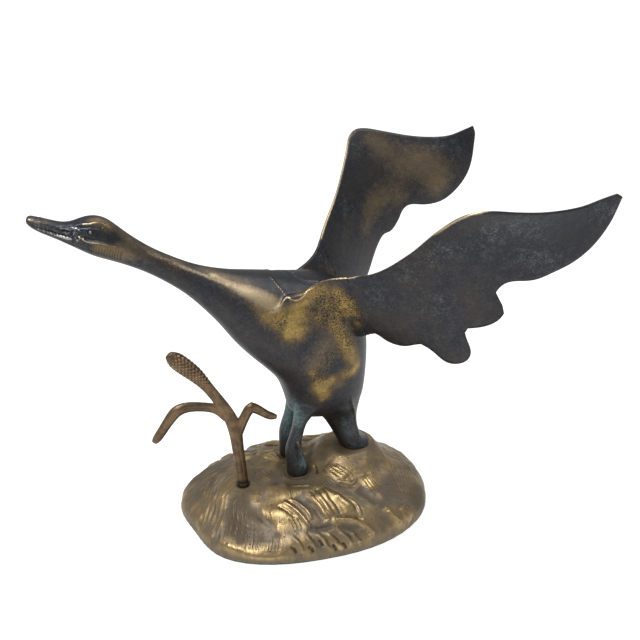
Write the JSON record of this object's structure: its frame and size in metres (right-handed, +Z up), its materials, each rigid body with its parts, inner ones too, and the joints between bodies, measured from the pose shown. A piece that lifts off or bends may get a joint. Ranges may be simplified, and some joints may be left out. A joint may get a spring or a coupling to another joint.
{
  "type": "bronze goose sculpture",
  "caption": "Cast bronze goose taking off with raised wings, standing on a hollow grassy mound beside a bent reed.",
  "frame": {"origin": "on the underside of the felt pad, below the goose", "axes": "+Z up, the goose faces -X, its left wing is at -Y"},
  "size_m": [0.3721, 0.2443, 0.2827],
  "materials": {
    "antique_brass": "antique brass with dark hollows and rubbed ridges",
    "dark_bronze": "dark patina rubbed to golden bronze on the shoulder",
    "brown_bronze": "brown patina",
    "zinc_steel": "zinc plated",
    "felt": "dark green felt"
  },
  "bodies": {
    "root": {"mound_base": "antique_brass", "felt_pad": "felt", "goose_body": "dark_bronze", "left_wing": "dark_bronze", "right_wing": "dark_bronze", "reed_spray": "brown_bronze", "left_foot_screw": "zinc_steel", "right_foot_screw": "zinc_steel", "tail_screw": "zinc_steel", "left_foot_washer": "zinc_steel", "right_foot_washer": "zinc_steel", "tail_washer": "zinc_steel", "reed_washer": "zinc_steel", "reed_nut": "zinc_steel"}
  },
  "joints": []
}
